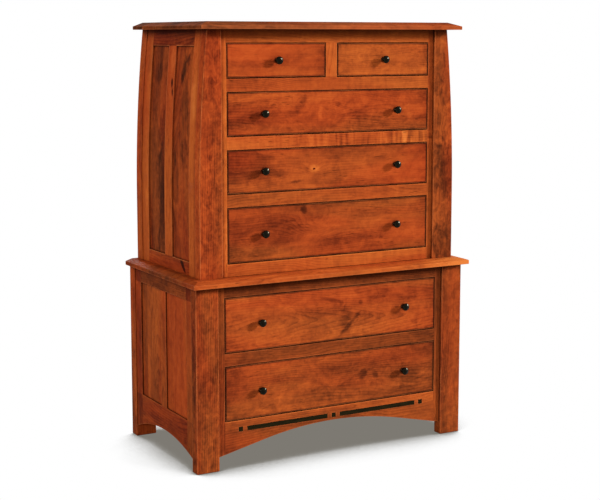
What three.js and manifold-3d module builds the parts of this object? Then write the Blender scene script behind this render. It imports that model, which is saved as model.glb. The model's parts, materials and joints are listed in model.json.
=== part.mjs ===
// Chest on chest: a bow-sided case of five drawers that stands on a wider case of two deep drawers.
// Millimetres, +Z up, front towards -Y, origin on the floor at the centre of the footprint.

import * as THREE from 'three';
import { mergeVertices } from 'three/addons/utils/BufferGeometryUtils.js';
import Module from 'manifold-3d';

const wasm = await Module();
wasm.setup();

// Whole piece
const totalHeight = 1662;

// Lower case
const lowerWidth = 1180;
const lowerDepth = 626;
const lowerHeight = 699;
const lowerFrontPostWidth = 92;
const lowerRearPostWidth = 84;
const lowerStileReveal = 28.5;
const lowerRowShares = [0.5, 0.5];
const lowerTopRailHeight = 47;
const lowerBottomRailTop = 181.5;

// Upper case, set back from the lower one on all sides
const upperSideSetback = 31.5;
const upperFrontSetback = 25.5;
const upperRearSetback = 8.5;
const upperFrontPostWidth = 92;
const upperRearPostWidth = 84;
const upperStileReveal = 24.5;
const upperRowShares = [0.194, 0.246, 0.246, 0.314];
const upperTopRailHeight = 49;
const upperBottomRailHeight = 47.5;
const sideBow = 35;
const bowStartHeight = 258;

// Members shared by both cases
const frontPostDepth = 41;
const rearPostDepth = 48;
const railHeight = 48.5;
const dividerWidth = 48.5;
const faceFrameThickness = 20;
const faceFrameSetback = 9;

// Boards with a bevelled upper edge
const topThickness = 28;
const topEdgeHeight = 13;
const topBevelWidth = 42;
const topFrontOverhang = 45;
const topSideOverhang = 42;
const waistThickness = 25;
const waistEdgeHeight = 16;
const waistBevelWidth = 28;
const waistFrontOverhang = 30;
const waistSideOverhang = 19.5;

// Framed sides and their panels
const sideFrameSetback = 4;
const sideFrameThickness = 20;
const panelSetback = 6;
const panelThickness = 8;
const panelTongue = 9;
const upperOuterStileWidth = 62;
const upperCentreStileWidth = 66;
const upperSideTopRail = 61;
const upperSideBottomRail = 52;
const lowerOuterStileWidth = 53;
const lowerCentreStileWidth = 50;
const lowerSideTopRail = 57;
const lowerSideBottomRailTop = 184.5;
const sideArchEndHeight = 45;
const sideArchApexHeight = 94;

// Apron and its inlay
const apronArchApexHeight = 128;
const apronShoulderShare = 0.6;
const apronShoulderDegrees = 12.7;
const inlaySquare = 17.5;
const inlayEndInset = 93.5;
const inlayBarHeight = 15;
const inlayGap = 19.5;
const inlayDepth = 3;
const inlayDrop = 34.5;

// Back panels
const backThickness = 8;
const backInset = 6;

// Web frames that carry and guide the drawers
const webThickness = 20;
const webStileWidth = 70;
const dustPanelThickness = 6;
const guideHeight = 14;
const kickerWidth = 30;
const stopDepth = 14;
const stopHeight = 12;

// Drawers
const frontThickness = 21;
const frontSideGap = 2;
const frontTopGap = 2;
const frontBottomGap = 3;
const frontLap = 9;
const boxThickness = 14;
const boxTopGap = 5;
const boxBottomThickness = 6;
const boxBottomRaise = 10;
const boxGrooveDepth = 6;
const boxBackDrop = 8;

// Half-blind dovetails between a drawer's front and its sides
const tailPitch = 41;
const tailFlare = 2;
const pinWidth = 8;
const endPinWidth = 6;

// Knobs
const knobRadius = 14.5;
const knobLength = 27;
const knobPlateRadius = 8.5;
const knobNeckRadius = 5.5;
const knobInset = 151;

// Clearances
const restGap = 0.3;
const overrun = 20;

// Facets
const bowSteps = 14;
const archSteps = 16;
const knobSegments = 18;

// Heights and places that follow
const waistTop = lowerHeight + waistThickness;
const upperHeight = totalHeight - topThickness - waistTop;
const lowerFrontY = (waistFrontOverhang - lowerDepth) / 2;
const lowerRearY = lowerFrontY + lowerDepth;
const lowerFrontPostInner = lowerWidth / 2 - lowerFrontPostWidth;
const upperHalfWidth = lowerWidth / 2 - upperSideSetback;
const upperFrontPostInner = upperHalfWidth - upperFrontPostWidth;
const tailLength = frontThickness - frontLap;

// Each row of drawers gets its share of what the rails leave of the height between two levels.
function rowHeights(rowShares, bottomZ, topZ) {
  const free = topZ - bottomZ - railHeight * (rowShares.length - 1);
  return rowShares.map((share) => share * free);
}

// Each case is described once, and the functions below read its description.
const lowerCase = {
  name: 'lower',
  baseZ: 0,
  topZ: lowerHeight,
  halfWidth: lowerWidth / 2,
  bow: 0,
  bowStartZ: 0,
  frontY: lowerFrontY,
  rearY: lowerRearY,
  frontPostInner: lowerFrontPostInner,
  rearPostInner: lowerWidth / 2 - lowerRearPostWidth,
  openingHalf: lowerFrontPostInner - lowerStileReveal,
  openingsTop: lowerHeight - lowerTopRailHeight,
  rowHeights: rowHeights(lowerRowShares, lowerBottomRailTop, lowerHeight - lowerTopRailHeight),
  outerStile: lowerOuterStileWidth,
  centreStile: lowerCentreStileWidth,
  sideBottomZ: sideArchEndHeight,
  windowBottomZ: lowerSideBottomRailTop,
  windowTopZ: lowerHeight - lowerSideTopRail,
  backBottomZ: lowerBottomRailTop - webThickness,
};

const upperCase = {
  name: 'upper',
  baseZ: waistTop,
  topZ: waistTop + upperHeight,
  halfWidth: upperHalfWidth,
  bow: sideBow,
  bowStartZ: waistTop + bowStartHeight,
  frontY: lowerFrontY + upperFrontSetback,
  rearY: lowerRearY - upperRearSetback,
  frontPostInner: upperFrontPostInner,
  rearPostInner: upperHalfWidth - upperRearPostWidth,
  openingHalf: upperFrontPostInner - upperStileReveal,
  openingsTop: waistTop + upperHeight - upperTopRailHeight,
  rowHeights: rowHeights(
    upperRowShares, waistTop + upperBottomRailHeight, waistTop + upperHeight - upperTopRailHeight,
  ),
  outerStile: upperOuterStileWidth,
  centreStile: upperCentreStileWidth,
  sideBottomZ: waistTop,
  windowBottomZ: waistTop + upperSideBottomRail,
  windowTopZ: waistTop + upperHeight - upperSideTopRail,
  backBottomZ: waistTop,
};

const sides = [['left', -1], ['right', 1]];

// Finishes
const finishes = {
  stainedCherry: { color: 0xa5461f, roughness: 0.42, metalness: 0 },
  drawerWood: { color: 0xd2b183, roughness: 0.6, metalness: 0 },
  webWood: { color: 0xb98f5e, roughness: 0.7, metalness: 0 },
  ebony: { color: 0x181310, roughness: 0.35, metalness: 0 },
  darkBronze: { color: 0x26201c, roughness: 0.3, metalness: 0.8 },
};

function makeMesh(name, geometry, finish) {
  const mesh = new THREE.Mesh(geometry, new THREE.MeshStandardMaterial(finishes[finish]));
  mesh.name = name;
  return mesh;
}

// Solids from outlines
// An outline's two coordinates are Y and Z along X, X and Z along Y, or X and Y along Z.
const extrudeBases = {
  x: [new THREE.Vector3(0, 1, 0), new THREE.Vector3(0, 0, 1), new THREE.Vector3(1, 0, 0)],
  y: [new THREE.Vector3(1, 0, 0), new THREE.Vector3(0, 0, 1), new THREE.Vector3(0, -1, 0)],
  z: [new THREE.Vector3(1, 0, 0), new THREE.Vector3(0, 1, 0), new THREE.Vector3(0, 0, 1)],
};

function extrudeAlong(axis, outline, low, high) {
  const shape = new THREE.Shape(outline.map(([u, v]) => new THREE.Vector2(u, v)));
  const geometry = new THREE.ExtrudeGeometry(shape, { depth: high - low, bevelEnabled: false });
  geometry.applyMatrix4(new THREE.Matrix4().makeBasis(...extrudeBases[axis]));
  const start = { x: [low, 0, 0], y: [0, high, 0], z: [0, 0, low] }[axis];
  return geometry.translate(...start);
}

function rectangle(u0, u1, v0, v1) {
  return [[u0, v0], [u1, v0], [u1, v1], [u0, v1]];
}

function block(x0, x1, y0, y1, z0, z1) {
  return extrudeAlong('z', rectangle(x0, x1, y0, y1), z0, z1);
}

function mirroredBlock(side, xInner, xOuter, y0, y1, z0, z1) {
  return block(Math.min(side * xInner, side * xOuter), Math.max(side * xInner, side * xOuter), y0, y1, z0, z1);
}

// Joins and cuts
function toManifold(geometry) {
  const bare = geometry.clone();
  bare.deleteAttribute('normal');
  bare.deleteAttribute('uv');
  const merged = mergeVertices(bare);
  return new wasm.Manifold(new wasm.Mesh({
    numProp: 3,
    vertProperties: new Float32Array(merged.attributes.position.array),
    triVerts: new Uint32Array(merged.index.array),
  }));
}

function toGeometry(manifold) {
  const mesh = manifold.getMesh();
  const geometry = new THREE.BufferGeometry();
  geometry.setAttribute('position', new THREE.BufferAttribute(new Float32Array(mesh.vertProperties), 3));
  geometry.setIndex(new THREE.BufferAttribute(new Uint32Array(mesh.triVerts), 1));
  geometry.computeVertexNormals();
  return geometry;
}

function join(geometries) {
  return toGeometry(geometries.map(toManifold).reduce((sum, solid) => sum.add(solid)));
}

function cut(geometry, cutters) {
  return toGeometry(cutters.map(toManifold).reduce((rest, solid) => rest.subtract(solid), toManifold(geometry)));
}

function common(first, second) {
  return toGeometry(toManifold(first).intersect(toManifold(second)));
}

// Bowed sides
// The outer line is straight up to the start of the bow, then leans in along one arc.
function halfWidthAt(chest, z) {
  const rise = z - chest.bowStartZ;
  if (chest.bow === 0 || rise <= 0) {
    return chest.halfWidth;
  }
  const fullRise = chest.topZ - chest.bowStartZ;
  const radius = (fullRise * fullRise + chest.bow * chest.bow) / (2 * chest.bow);
  return chest.halfWidth - (radius - Math.sqrt(radius * radius - rise * rise));
}

function bowStations(chest, z0, z1) {
  if (chest.bow === 0) {
    return [z0, z1];
  }
  const stations = [];
  for (let step = 0; step <= bowSteps; step += 1) {
    stations.push(chest.bowStartZ + (chest.topZ - chest.bowStartZ) * (step / bowSteps));
  }
  return [z0, ...stations.filter((z) => z > z0 && z < z1), z1];
}

// A slab between two lines that both follow the side, set in by the two insets.
function sideSlab(chest, side, outerInset, innerInset, y0, y1, z0, z1) {
  const heights = bowStations(chest, z0, z1);
  const outer = heights.map((z) => [side * (halfWidthAt(chest, z) - outerInset), z]);
  const inner = heights.map((z) => [side * (halfWidthAt(chest, z) - innerInset), z]).reverse();
  return extrudeAlong('y', [...outer, ...inner], y0, y1);
}

// Points of an arch over a span, from low to high, whose ends lie at one height.
function roundArch(low, high, endHeight, apexHeight) {
  const halfSpan = (high - low) / 2;
  const rise = apexHeight - endHeight;
  const radius = (halfSpan * halfSpan + rise * rise) / (2 * rise);
  const points = [];
  for (let step = 0; step <= archSteps; step += 1) {
    const along = halfSpan * (2 * (step / archSteps) - 1);
    const drop = radius - Math.sqrt(radius * radius - along * along);
    points.push([(low + high) / 2 + along, apexHeight - drop]);
  }
  return points;
}

// Points of the apron's edge: an arc in the middle that runs out in straight shoulders.
function shoulderedArch(halfSpan, apexHeight) {
  const angle = THREE.MathUtils.degToRad(apronShoulderDegrees);
  const shoulder = halfSpan * apronShoulderShare;
  const radius = shoulder / Math.sin(angle);
  const shoulderDrop = radius * (1 - Math.cos(angle));
  const endHeight = apexHeight - shoulderDrop - (halfSpan - shoulder) * Math.tan(angle);
  const points = [[-halfSpan, endHeight]];
  for (let step = 0; step <= archSteps; step += 1) {
    const turn = angle * (2 * (step / archSteps) - 1);
    points.push([radius * Math.sin(turn), apexHeight - radius * (1 - Math.cos(turn))]);
  }
  points.push([halfSpan, endHeight]);
  return points;
}

// Drawer openings of a case, from the top down; the first row of the upper case holds two.
function openingsOf(chest) {
  const openings = [];
  let top = chest.openingsTop;
  chest.rowHeights.forEach((height, row) => {
    const bottom = top - height;
    if (chest === upperCase && row === 0) {
      openings.push({ row, low: -chest.openingHalf, high: -dividerWidth / 2, bottom, top });
      openings.push({ row, low: dividerWidth / 2, high: chest.openingHalf, bottom, top });
    } else {
      openings.push({ row, low: -chest.openingHalf, high: chest.openingHalf, bottom, top });
    }
    top = bottom - railHeight;
  });
  return openings;
}

function faceY(chest) {
  return chest.frontY + faceFrameSetback;
}

function faceBackY(chest) {
  return faceY(chest) + faceFrameThickness;
}

function backPanelFrontY(chest) {
  return chest.rearY - backInset - backThickness;
}

// Top and waist boards, bevelled on the front and both ends and square at the back.
function bevelledBoard(halfWidth, frontY, rearY, z, thickness, edgeHeight, bevelWidth) {
  const edgeZ = z + edgeHeight;
  const topZ = z + thickness;
  const endProfile = [
    [-halfWidth, z], [halfWidth, z], [halfWidth, edgeZ],
    [halfWidth - bevelWidth, topZ], [bevelWidth - halfWidth, topZ], [-halfWidth, edgeZ],
  ];
  const sideProfile = [[frontY, z], [rearY, z], [rearY, topZ], [frontY + bevelWidth, topZ], [frontY, edgeZ]];
  return common(extrudeAlong('y', endProfile, frontY, rearY), extrudeAlong('x', sideProfile, -halfWidth, halfWidth));
}

// Strips under a board that keep the top drawers level when they are pulled out.
function boardKickers(chest, boardBottomZ) {
  const y0 = faceBackY(chest);
  const y1 = backPanelFrontY(chest);
  const depthInBoard = boardBottomZ + topEdgeHeight / 2;
  const strips = sides.map(([, side]) => mirroredBlock(
    side, chest.openingHalf - kickerWidth, chest.frontPostInner, y0, y1, chest.openingsTop, depthInBoard,
  ));
  if (chest === upperCase) {
    const half = dividerWidth / 2 + kickerWidth;
    strips.push(block(-half, half, y0, y1, chest.openingsTop, depthInBoard));
  }
  return strips;
}

function makeTopBoard() {
  const halfWidth = upperCase.halfWidth - sideBow + topSideOverhang;
  const board = bevelledBoard(
    halfWidth, upperCase.frontY - topFrontOverhang, upperCase.rearY,
    upperCase.topZ, topThickness, topEdgeHeight, topBevelWidth,
  );
  return makeMesh('top_board', join([board, ...boardKickers(upperCase, upperCase.topZ)]), 'stainedCherry');
}

function makeWaistBoard() {
  const board = bevelledBoard(
    lowerCase.halfWidth + waistSideOverhang, lowerCase.frontY - waistFrontOverhang, lowerCase.rearY,
    lowerCase.topZ, waistThickness, waistEdgeHeight, waistBevelWidth,
  );
  return makeMesh('waist_board', join([board, ...boardKickers(lowerCase, lowerCase.topZ)]), 'stainedCherry');
}

// Corner posts: straight inside, bowed outside
function makePost(chest, place, sideName, side) {
  const inner = place === 'front' ? chest.frontPostInner : chest.rearPostInner;
  const y0 = place === 'front' ? chest.frontY : chest.rearY - rearPostDepth;
  const y1 = place === 'front' ? chest.frontY + frontPostDepth : chest.rearY;
  const heights = bowStations(chest, chest.baseZ, chest.topZ);
  const outline = heights.map((z) => [side * halfWidthAt(chest, z), z]);
  outline.push([side * inner, chest.topZ], [side * inner, chest.baseZ]);
  return makeMesh(`${chest.name}_${place}_post_${sideName}`, extrudeAlong('y', outline, y0, y1), 'stainedCherry');
}

// Framed sides: stiles and rails round two windows, with a rebate behind them for the panel.
function sidePanelField(chest) {
  const y0 = chest.frontY + frontPostDepth;
  const y1 = chest.rearY - rearPostDepth;
  return {
    y0,
    y1,
    innerY0: y0 + chest.outerStile,
    innerY1: y1 - chest.outerStile,
    z0: chest.windowBottomZ,
    z1: chest.windowTopZ,
  };
}

function makeSideFrame(chest, sideName, side) {
  const field = sidePanelField(chest);
  const innerInset = sideFrameSetback + sideFrameThickness;
  const slab = sideSlab(
    chest, side, sideFrameSetback, innerInset, field.y0, field.y1, chest.sideBottomZ, chest.topZ,
  );
  const middle = (field.y0 + field.y1) / 2;
  const xInner = 0;
  const xOuter = chest.halfWidth + overrun;
  const cutters = [
    [field.innerY0, middle - chest.centreStile / 2],
    [middle + chest.centreStile / 2, field.innerY1],
  ].map(([y0, y1]) => mirroredBlock(side, xInner, xOuter, y0, y1, field.z0, field.z1));
  cutters.push(sideSlab(
    chest, side, sideFrameSetback + panelSetback, innerInset + overrun,
    field.innerY0 - panelTongue, field.innerY1 + panelTongue, field.z0 - panelTongue, field.z1 + panelTongue,
  ));
  if (chest === lowerCase) {
    const arch = roundArch(field.y0, field.y1, sideArchEndHeight, sideArchApexHeight);
    const below = chest.sideBottomZ - overrun;
    const outline = [...arch, [field.y1, below], [field.y0, below]];
    cutters.push(extrudeAlong('x', outline, Math.min(0, side * xOuter), Math.max(0, side * xOuter)));
  }
  return makeMesh(`${chest.name}_side_frame_${sideName}`, cut(slab, cutters), 'stainedCherry');
}

function makeSidePanel(chest, sideName, side) {
  const field = sidePanelField(chest);
  const outerInset = sideFrameSetback + panelSetback + restGap;
  const grow = panelTongue - restGap;
  const panel = sideSlab(
    chest, side, outerInset, outerInset + panelThickness,
    field.innerY0 - grow, field.innerY1 + grow, field.z0 - grow, field.z1 + grow,
  );
  return makeMesh(`${chest.name}_side_panel_${sideName}`, panel, 'stainedCherry');
}

function makeBackPanel(chest) {
  const y0 = backPanelFrontY(chest);
  const panel = block(-chest.rearPostInner, chest.rearPostInner, y0, y0 + backThickness, chest.backBottomZ, chest.topZ);
  return makeMesh(`${chest.name}_back_panel`, panel, 'webWood');
}

// Face frames: stiles and rails round the drawer openings
function openingCutters(chest) {
  const y0 = chest.frontY - overrun;
  const y1 = faceBackY(chest) + overrun;
  return openingsOf(chest).map(({ low, high, bottom, top }) => block(low, high, y0, y1, bottom, top));
}

function makeUpperFaceFrame() {
  const half = upperCase.frontPostInner;
  const outline = rectangle(-half, half, upperCase.baseZ, upperCase.topZ);
  const board = extrudeAlong('y', outline, faceY(upperCase), faceBackY(upperCase));
  return makeMesh('upper_face_frame', cut(board, openingCutters(upperCase)), 'stainedCherry');
}

// The lower frame's bottom rail is the arched apron, with shallow pockets for the inlay.
function makeLowerFaceFrame() {
  const half = lowerCase.frontPostInner;
  const outline = [...shoulderedArch(half, apronArchApexHeight), [half, lowerCase.topZ], [-half, lowerCase.topZ]];
  const board = extrudeAlong('y', outline, faceY(lowerCase), faceBackY(lowerCase));
  const pockets = inlayPieces().map(({ x, width, height }) => inlayBlock(x, width, height, -overrun, restGap));
  return makeMesh('lower_face_frame', cut(board, [...openingCutters(lowerCase), ...pockets]), 'stainedCherry');
}

// Inlay: a square, a bar, a square, a bar and a square, let in flush with the apron's face
function inlayPieces() {
  const endX = lowerFrontPostInner - inlayEndInset;
  const barX = endX / 2;
  const barLength = endX - inlaySquare - 2 * inlayGap;
  return [
    { name: 'inlay_square_left', x: -endX, width: inlaySquare, height: inlaySquare },
    { name: 'inlay_bar_left', x: -barX, width: barLength, height: inlayBarHeight },
    { name: 'inlay_square_centre', x: 0, width: inlaySquare, height: inlaySquare },
    { name: 'inlay_bar_right', x: barX, width: barLength, height: inlayBarHeight },
    { name: 'inlay_square_right', x: endX, width: inlaySquare, height: inlaySquare },
  ];
}

function inlayBlock(x, width, height, frontReach, clearance) {
  const z = lowerBottomRailTop - inlayDrop;
  const y = faceY(lowerCase);
  const halfX = width / 2 + clearance;
  const halfZ = height / 2 + clearance;
  return block(x - halfX, x + halfX, y + frontReach, y + inlayDepth, z - halfZ, z + halfZ);
}

function makeInlay() {
  return inlayPieces().map(({ name, x, width, height }) => makeMesh(name, inlayBlock(x, width, height, 0, 0), 'ebony'));
}

// Web frames: one under each row of drawers, notched round the posts
// Its sides run close along the framed sides; a thin dust panel fills its middle.
function makeWebFrame(chest, row) {
  const [opening] = openingsOf(chest).filter((candidate) => candidate.row === row);
  const topZ = opening.bottom;
  const bottomZ = topZ - webThickness;
  const y0 = faceBackY(chest);
  const y1 = backPanelFrontY(chest);
  const sideInset = sideFrameSetback + sideFrameThickness + restGap;
  const notchY0 = chest.frontY + frontPostDepth + restGap;
  const notchY1 = chest.rearY - rearPostDepth - restGap;
  const lowHalf = halfWidthAt(chest, bottomZ) - sideInset;
  const highHalf = halfWidthAt(chest, topZ) - sideInset;
  const middle = [[-lowHalf, bottomZ], [lowHalf, bottomZ], [highHalf, topZ], [-highHalf, topZ]];
  const solids = [
    extrudeAlong('y', middle, notchY0, notchY1),
    block(-chest.frontPostInner, chest.frontPostInner, y0, notchY0 + webThickness, bottomZ, topZ),
    block(-chest.rearPostInner, chest.rearPostInner, notchY1 - webThickness, y1, bottomZ, topZ),
    block(-chest.openingHalf, chest.openingHalf, y1 - stopDepth, y1, bottomZ, topZ + stopHeight),
    ...sides.map(([, side]) => mirroredBlock(
      side, chest.openingHalf, chest.frontPostInner, y0, y1, bottomZ, topZ + guideHeight,
    )),
  ];
  if (chest === upperCase && row === 0) {
    solids.push(block(-dividerWidth / 2, dividerWidth / 2, y0, y1, bottomZ, topZ + guideHeight));
  }
  if (row < chest.rowHeights.length - 1) {
    solids.push(...sides.map(([, side]) => mirroredBlock(
      side, chest.openingHalf - kickerWidth, chest.frontPostInner, y0, y1, topZ - railHeight, topZ,
    )));
  }
  const pocketHalf = chest.openingHalf - webStileWidth;
  const pocketY0 = notchY0 + webStileWidth;
  const pocketY1 = notchY1 - webStileWidth;
  const pocketDepth = (webThickness - dustPanelThickness) / 2;
  const pockets = [
    block(-pocketHalf, pocketHalf, pocketY0, pocketY1, topZ - pocketDepth, topZ + overrun),
    block(-pocketHalf, pocketHalf, pocketY0, pocketY1, bottomZ - overrun, bottomZ + pocketDepth),
  ];
  const ring = cut(join(solids.slice(0, 3)), pockets);
  return makeMesh(`${chest.name}_web_frame_${row + 1}`, join([ring, ...solids.slice(3)]), 'webWood');
}

// Outlines of the tails that lock a drawer's side into its front, along the side's front end.
// Each is wide at its tip and narrow at the shoulder, and reaches on past the shoulder.
function tailOutlines(low, high, clearance, reach) {
  const count = Math.round((high - low) / tailPitch);
  const pitch = (high - low - 2 * endPinWidth + pinWidth) / count;
  const tipY = frontThickness - tailLength - clearance;
  const outlines = [];
  for (let tail = 0; tail < count; tail += 1) {
    const z0 = low + endPinWidth + pitch * tail - clearance;
    const z1 = z0 + pitch - pinWidth + 2 * clearance;
    outlines.push([
      [tipY, z0], [frontThickness, z0 + tailFlare], [frontThickness + reach, z0 + tailFlare],
      [frontThickness + reach, z1 - tailFlare], [frontThickness, z1 - tailFlare], [tipY, z1],
    ]);
  }
  return outlines;
}

// Drawers: a front with its knobs, and a box dovetailed and grooved into it
function makeDrawer(chest, opening, name) {
  const drawer = new THREE.Group();
  const halfWidth = (opening.high - opening.low) / 2 - frontSideGap;
  const height = opening.top - opening.bottom;
  const boxHeight = height - boxTopGap;
  const boxFront = frontThickness;
  const boxRear = backPanelFrontY(chest) - stopDepth - restGap - faceY(chest);
  drawer.position.set((opening.low + opening.high) / 2, faceY(chest), opening.bottom);

  const bottomZ = restGap + boxBottomRaise;
  const bottomHalf = halfWidth - boxThickness + boxGrooveDepth;
  const backTop = boxHeight - boxBackDrop;
  const sideInner = halfWidth - boxThickness;

  const frontBoard = block(-halfWidth, halfWidth, 0, frontThickness, frontBottomGap, height - frontTopGap);
  const sockets = tailOutlines(frontBottomGap, boxHeight, restGap, overrun).flatMap((outline) => [
    extrudeAlong('x', outline, -halfWidth - overrun, restGap - sideInner),
    extrudeAlong('x', outline, sideInner - restGap, halfWidth + overrun),
  ]);
  const groove = block(
    -bottomHalf - restGap, bottomHalf + restGap, frontThickness - boxGrooveDepth - restGap, frontThickness + overrun,
    bottomZ - restGap, bottomZ + boxBottomThickness + restGap,
  );
  drawer.add(makeMesh(`${name}_front`, cut(frontBoard, [...sockets, groove]), 'stainedCherry'));

  const tails = tailOutlines(frontBottomGap, boxHeight, 0, tailLength).flatMap((outline) => [
    extrudeAlong('x', outline, -halfWidth, -sideInner),
    extrudeAlong('x', outline, sideInner, halfWidth),
  ]);
  const box = join([
    ...sides.map(([, side]) => mirroredBlock(side, sideInner, halfWidth, boxFront, boxRear, restGap, boxHeight)),
    ...tails,
    block(-bottomHalf, bottomHalf, boxFront - boxGrooveDepth, boxRear, bottomZ, bottomZ + boxBottomThickness),
    block(-bottomHalf, bottomHalf, boxRear - boxThickness, boxRear, bottomZ, backTop),
  ]);
  drawer.add(makeMesh(`${name}_box`, box, 'drawerWood'));

  const knobZ = height / 2;
  const small = chest === upperCase && opening.row === 0;
  const knobX = chest.openingHalf - knobInset;
  const knobXs = small ? [['', 0]] : [['_left', -knobX], ['_right', knobX]];
  for (const [suffix, x] of knobXs) {
    const knob = makeMesh(`${name}_knob${suffix}`, knobGeometry(), 'darkBronze');
    knob.position.set(x, 0, knobZ);
    knob.rotation.z = Math.PI;
    drawer.add(knob);
  }
  return drawer;
}

// A turned knob: a small round plate, a waisted neck and a domed head.
// Each point is a share of a radius and a share of the knob's length.
function knobGeometry() {
  const headPointShares = [[0.62, 0.42], [0.93, 0.55], [1, 0.66], [0.93, 0.8], [0.7, 0.92], [0.38, 0.985]];
  const profile = [
    new THREE.Vector2(0, 0),
    new THREE.Vector2(knobPlateRadius, 0),
    new THREE.Vector2(knobPlateRadius, knobLength * 0.06),
    new THREE.Vector2(knobNeckRadius, knobLength * 0.16),
    new THREE.Vector2(knobNeckRadius, knobLength * 0.32),
    ...headPointShares.map(([across, along]) => new THREE.Vector2(knobRadius * across, knobLength * along)),
    new THREE.Vector2(0, knobLength),
  ];
  return new THREE.LatheGeometry(profile, knobSegments);
}

const drawerNames = {
  upper: ['drawer_1_left', 'drawer_1_right', 'drawer_2', 'drawer_3', 'drawer_4'],
  lower: ['drawer_5', 'drawer_6'],
};

// Assembly
const chestOnChest = new THREE.Group();
chestOnChest.add(makeTopBoard(), makeWaistBoard(), makeUpperFaceFrame(), makeLowerFaceFrame(), ...makeInlay());
for (const chest of [lowerCase, upperCase]) {
  for (const [sideName, side] of sides) {
    chestOnChest.add(makePost(chest, 'front', sideName, side));
    chestOnChest.add(makePost(chest, 'rear', sideName, side));
    chestOnChest.add(makeSideFrame(chest, sideName, side));
    chestOnChest.add(makeSidePanel(chest, sideName, side));
  }
  chestOnChest.add(makeBackPanel(chest));
  chest.rowHeights.forEach((height, row) => chestOnChest.add(makeWebFrame(chest, row)));
  openingsOf(chest).forEach((opening, index) => {
    chestOnChest.add(makeDrawer(chest, opening, drawerNames[chest.name][index]));
  });
}

export default chestOnChest;
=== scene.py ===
"""Chest on chest: the looks of its pieces. Metres, +Z up, the drawers face -Y."""

import json
import math

import bmesh
import bpy
from mathutils import Matrix, Vector

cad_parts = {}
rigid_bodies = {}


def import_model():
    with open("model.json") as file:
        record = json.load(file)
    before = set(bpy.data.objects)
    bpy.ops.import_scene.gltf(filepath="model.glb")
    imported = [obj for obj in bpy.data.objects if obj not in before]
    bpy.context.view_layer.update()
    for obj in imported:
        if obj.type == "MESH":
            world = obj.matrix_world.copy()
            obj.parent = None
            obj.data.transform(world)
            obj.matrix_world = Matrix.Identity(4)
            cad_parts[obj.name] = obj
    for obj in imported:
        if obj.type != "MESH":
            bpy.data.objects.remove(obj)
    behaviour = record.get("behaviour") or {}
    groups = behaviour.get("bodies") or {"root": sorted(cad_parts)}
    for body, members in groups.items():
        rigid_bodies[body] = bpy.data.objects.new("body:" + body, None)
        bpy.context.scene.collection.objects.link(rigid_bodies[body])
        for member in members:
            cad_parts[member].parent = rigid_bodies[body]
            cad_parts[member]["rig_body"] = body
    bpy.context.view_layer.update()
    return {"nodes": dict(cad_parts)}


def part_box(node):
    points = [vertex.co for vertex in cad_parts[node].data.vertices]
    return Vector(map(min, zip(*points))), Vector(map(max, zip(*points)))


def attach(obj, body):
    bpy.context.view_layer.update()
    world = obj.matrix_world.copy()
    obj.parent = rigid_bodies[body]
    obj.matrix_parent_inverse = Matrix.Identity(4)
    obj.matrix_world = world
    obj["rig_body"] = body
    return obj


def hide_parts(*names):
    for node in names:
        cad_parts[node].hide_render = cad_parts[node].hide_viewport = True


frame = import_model()
nodes = frame["nodes"]


# Camera: where it stands, which way it looks, and its lens

EYE = (-2.637, -4.742, 1.601)
YAW, PITCH = math.radians(29.18), math.radians(7.58)
SENSOR_WIDTH = 36
LENS = 81.94
SHIFT_UP = -0.05
NEAR, FAR = 0.1, 100


def make_camera():
    forward = Vector((math.sin(YAW) * math.cos(PITCH), math.cos(YAW) * math.cos(PITCH), -math.sin(PITCH)))
    right = Vector((math.cos(YAW), -math.sin(YAW), 0))
    up = right.cross(forward)
    data = bpy.data.cameras.new("camera")
    data.sensor_width = SENSOR_WIDTH
    data.lens = LENS
    data.shift_y = SHIFT_UP
    data.clip_start, data.clip_end = NEAR, FAR
    camera = bpy.data.objects.new("camera", data)
    bpy.context.scene.collection.objects.link(camera)
    turn = Matrix((right, up, -forward)).transposed().to_4x4()
    camera.matrix_world = Matrix.Translation(EYE) @ turn
    bpy.context.scene.camera = camera


# Node trees

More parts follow.
